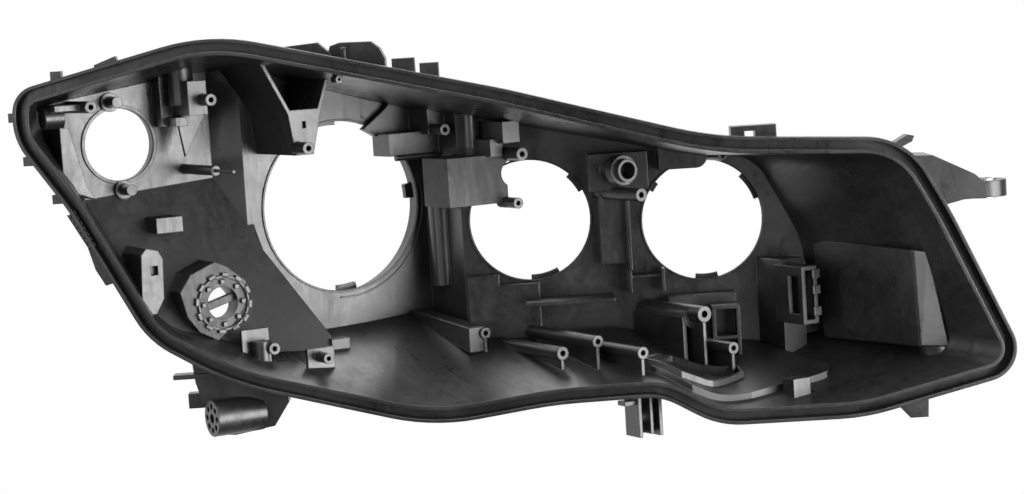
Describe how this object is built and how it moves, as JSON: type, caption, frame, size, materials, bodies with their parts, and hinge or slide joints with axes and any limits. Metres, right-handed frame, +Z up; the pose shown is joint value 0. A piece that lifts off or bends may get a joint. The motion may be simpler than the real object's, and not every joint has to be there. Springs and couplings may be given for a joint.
{
  "type": "injection moulded lamp housing",
  "caption": "Black moulded rear shell of a car headlamp, swept in plan, with a glue channel round its open front, round service openings, screw bosses and fixing lugs.",
  "frame": {"origin": "centre of the large projector opening, on the front face of the plate around it", "axes": "+Y is the draw direction of the moulding and points to the back of the lamp; +Z is up as the lamp sits in the car; +X runs along the lamp, to the right as seen from the front"},
  "size_m": [0.5895, 0.3587, 0.2818],
  "materials": {
    "housing_plastic": "fine textured, lightly glossy on ribs and edges",
    "sleeve_steel": "zinc plated, satin"
  },
  "bodies": {
    "root": {"headlamp_housing": "housing_plastic", "mount_eye_sleeve": "sleeve_steel"}
  },
  "joints": []
}
